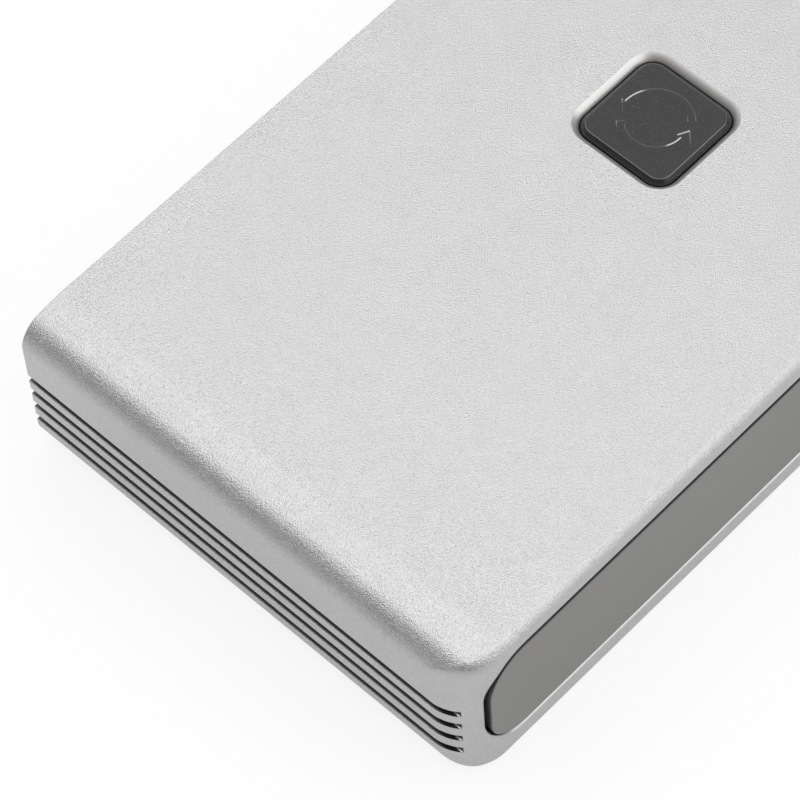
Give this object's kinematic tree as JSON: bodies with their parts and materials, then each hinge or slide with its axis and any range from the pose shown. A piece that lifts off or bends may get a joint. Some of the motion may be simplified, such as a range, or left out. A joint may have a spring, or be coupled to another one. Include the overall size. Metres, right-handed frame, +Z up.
{
  "type": "hdmi switch box",
  "caption": "Flat silver box that routes one of several video sources to a screen: extruded sleeve with grooved ends, smoked front strip, square select key and rear sockets.",
  "frame": {"origin": "middle of the footprint, on the plane that the feet stand on", "axes": "+X along the length, -Y towards the front panel, +Z up through the key"},
  "size_m": [0.121, 0.06, 0.0208],
  "materials": {
    "anodised_aluminium": "bead-blasted and silver anodised",
    "smoked_panel": "smoked, polished",
    "tape": "foam adhesive tape",
    "black_plastic": "moulded",
    "clear_plastic": "clear acrylic",
    "black_painted_plate": "fine black powder coat",
    "black_screw": "black oxide",
    "board": "green solder mask",
    "plated_brass": "gold plated",
    "key_plastic": "fine spark texture",
    "plated_steel": "nickel plated",
    "white_plastic": "moulded",
    "dark_epoxy": "infrared epoxy",
    "lamp_epoxy": "diffused epoxy",
    "chip_epoxy": "moulded epoxy",
    "pad_silicone": "silicone",
    "black_aluminium": "black anodised",
    "ferrite": "pressed ferrite",
    "capacitor_can": "coated can",
    "ceramic": "fired ceramic",
    "foot_rubber": "die-cut rubber"
  },
  "bodies": {
    "case": {"case_sleeve": "anodised_aluminium", "front_panel": "smoked_panel", "panel_tape": "tape", "panel_carrier": "black_plastic", "light_guides": "clear_plastic", "rear_panel": "black_painted_plate", "rear_screws": "black_screw", "main_board": "board", "input_1_shell": "plated_steel", "input_2_shell": "plated_steel", "input_3_shell": "plated_steel", "output_shell": "plated_steel", "input_1_insulator": "black_plastic", "input_2_insulator": "black_plastic", "input_3_insulator": "black_plastic", "output_insulator": "black_plastic", "input_1_contacts": "plated_brass", "input_2_contacts": "plated_brass", "input_3_contacts": "plated_brass", "output_contacts": "plated_brass", "power_socket_body": "black_plastic", "power_socket_pin": "plated_brass", "push_switch_base": "black_plastic", "push_switch_cover": "plated_steel", "push_switch_dome": "plated_steel", "push_switch_terminals": "plated_steel", "infrared_receiver": "dark_epoxy", "infrared_leads": "plated_steel", "power_lamp": "lamp_epoxy", "input_1_lamp": "lamp_epoxy", "input_2_lamp": "lamp_epoxy", "input_3_lamp": "lamp_epoxy", "switching_chip": "chip_epoxy", "thermal_pad": "pad_silicone", "heat_sink": "black_aluminium", "controller_chip": "chip_epoxy", "crystal": "plated_steel", "regulator": "chip_epoxy", "inductor": "ferrite", "capacitors": "capacitor_can", "surge_arrays": "chip_epoxy", "chip_parts": "ceramic", "foot_front_left": "foot_rubber", "foot_front_right": "foot_rubber", "foot_rear_left": "foot_rubber", "foot_rear_right": "foot_rubber"},
    "button": {"select_button": "key_plastic", "push_switch_plunger": "white_plastic"}
  },
  "joints": [
    {"name": "button_press", "type": "slide", "parent": "case", "child": "button", "axis": [0, 0, -1], "range_m": [0, 0.0005], "stiffness_N_per_m": 4000, "deforming": ["push_switch_dome"]}
  ]
}
